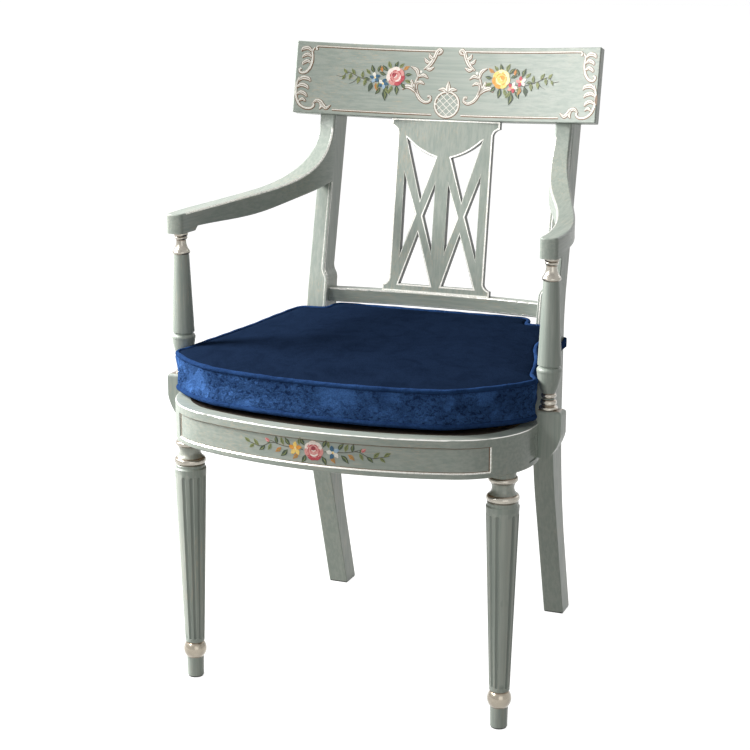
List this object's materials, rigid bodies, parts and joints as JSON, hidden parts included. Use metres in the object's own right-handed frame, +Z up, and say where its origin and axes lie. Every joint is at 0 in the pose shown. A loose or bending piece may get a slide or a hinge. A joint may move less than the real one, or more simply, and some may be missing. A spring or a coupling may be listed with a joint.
{
  "type": "desk armchair",
  "caption": "Open armchair with fluted turned front legs, sabre rear posts, bent crest, pierced cross splat, turned arm supports and a loose velvet box cushion on a caned seat.",
  "frame": {"origin": "centre of the bounding box on the floor", "axes": "+Z up; the sitter faces -Y; X runs across the chair, +X at the right of a viewer who faces its front"},
  "size_m": [0.612, 0.58, 0.9296],
  "materials": {
    "painted_wood": "grey-green satin paint, dragged, with silvered turnings and edge lines",
    "raw_wood": "plain sanded beech",
    "cane": "woven cane, natural gloss",
    "steel": "zinc-plated screws",
    "felt": "dark pressed felt",
    "velvet": "dark blue crushed velvet with self piping"
  },
  "bodies": {
    "frame": {"front_leg_left": "painted_wood", "front_leg_right": "painted_wood", "rear_post_left": "painted_wood", "rear_post_right": "painted_wood", "front_seat_rail": "painted_wood", "side_seat_rail_left": "painted_wood", "side_seat_rail_right": "painted_wood", "back_seat_rail": "painted_wood", "crest_rail": "painted_wood", "splat": "painted_wood", "lower_back_rail": "painted_wood", "arm_left": "painted_wood", "arm_right": "painted_wood", "arm_support_left": "painted_wood", "arm_support_right": "painted_wood", "arm_screw_plugs": "painted_wood", "front_corner_block_left": "raw_wood", "front_corner_block_right": "raw_wood", "rear_corner_block_left": "raw_wood", "rear_corner_block_right": "raw_wood", "seat_dowels": "raw_wood", "crest_dowels": "raw_wood", "lower_rail_dowels": "raw_wood", "cane_panel": "cane", "cane_spline": "cane", "arm_screws": "steel", "arm_support_screws": "steel", "corner_block_screws": "steel", "front_foot_pads": "felt", "rear_foot_pads": "felt", "cushion_tie_left": "velvet", "cushion_tie_right": "velvet"},
    "cushion": {"seat_cushion": "velvet"}
  },
  "joints": [
    {"name": "cushion_slide", "type": "slide", "parent": "frame", "child": "cushion", "axis": [0, -1, 0], "range_m": [0, 0.2]}
  ]
}
